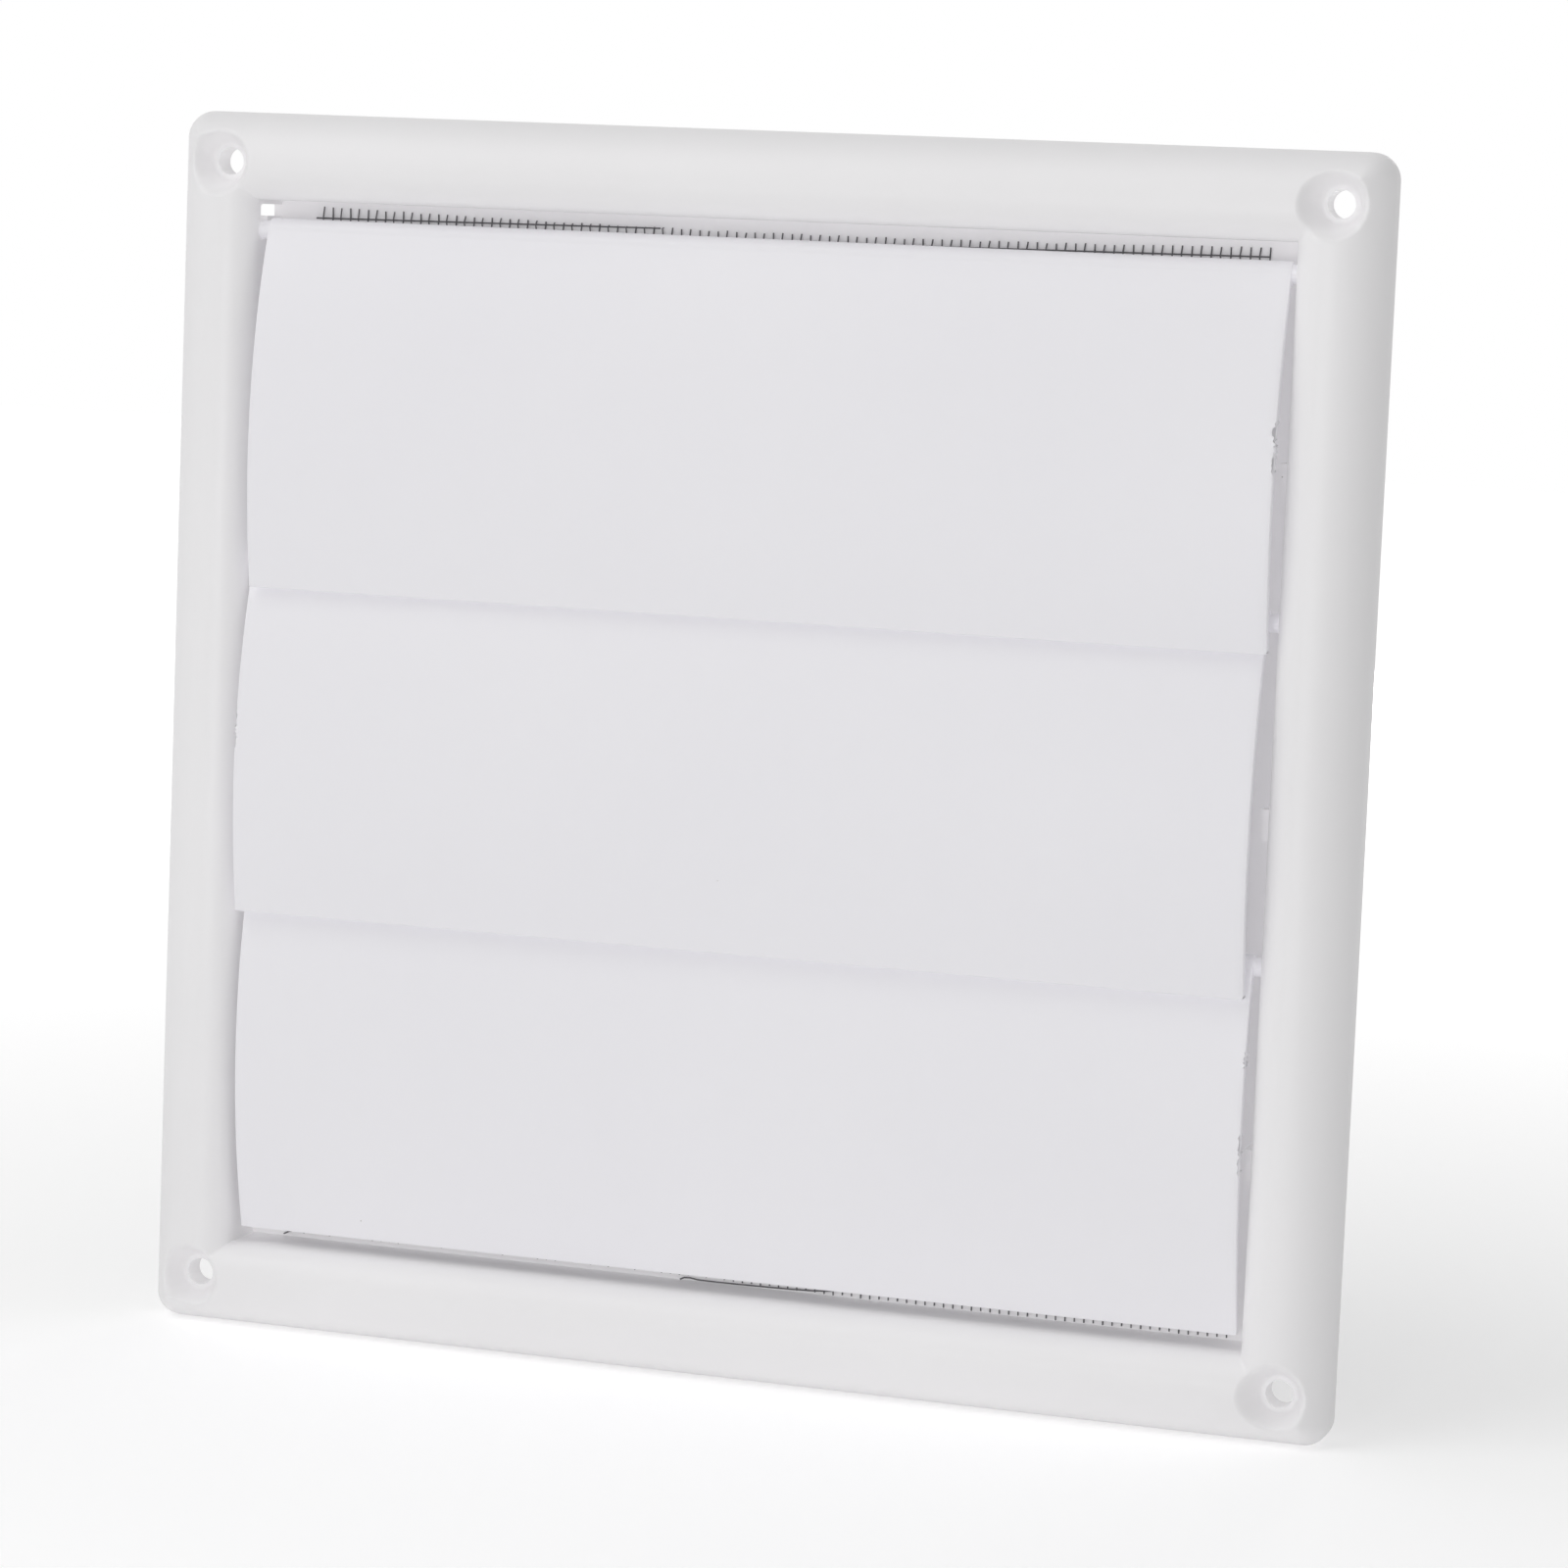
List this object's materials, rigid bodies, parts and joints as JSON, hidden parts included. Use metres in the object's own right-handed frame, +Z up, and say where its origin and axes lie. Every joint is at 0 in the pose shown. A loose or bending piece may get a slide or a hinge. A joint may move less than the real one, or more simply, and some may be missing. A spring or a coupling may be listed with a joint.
{
  "type": "square air vent grille",
  "caption": "Square wall vent grille with a rounded bezel, lapped gravity flaps on pins that swing outwards in a draught, and a woven fly screen behind them.",
  "frame": {"origin": "centre of the four screw holes on the wall face", "axes": "+Z up, +Y into the wall, +X to the right when looking at the front"},
  "size_m": [0.2, 0.0171, 0.2],
  "materials": {
    "frame_plastic": "satin moulded white",
    "flap_plastic": "satin moulded white",
    "screen_net": "woven plastic-coated yarn"
  },
  "bodies": {
    "frame": {"frame": "frame_plastic", "fly_screen": "screen_net"},
    "flap_top": {"flap_top": "flap_plastic"},
    "flap_middle": {"flap_middle": "flap_plastic"},
    "flap_bottom": {"flap_bottom": "flap_plastic"}
  },
  "joints": [
    {"name": "flap_bottom_hinge", "type": "hinge", "parent": "frame", "child": "flap_bottom", "pos_m": [0, -0.0046, -0.0254], "axis": [-1, 0, 0], "range_deg": [0, 75]},
    {"name": "flap_middle_hinge", "type": "hinge", "parent": "frame", "child": "flap_middle", "pos_m": [0, -0.0046, 0.0279], "axis": [-1, 0, 0], "range_deg": [0, 75]},
    {"name": "flap_top_hinge", "type": "hinge", "parent": "frame", "child": "flap_top", "pos_m": [0, -0.0046, 0.0812], "axis": [-1, 0, 0], "range_deg": [0, 75]}
  ],
  "couplings": [
    {"joint": "flap_middle_hinge", "follows": "flap_bottom_hinge", "ratio": 1},
    {"joint": "flap_top_hinge", "follows": "flap_bottom_hinge", "ratio": 1}
  ]
}
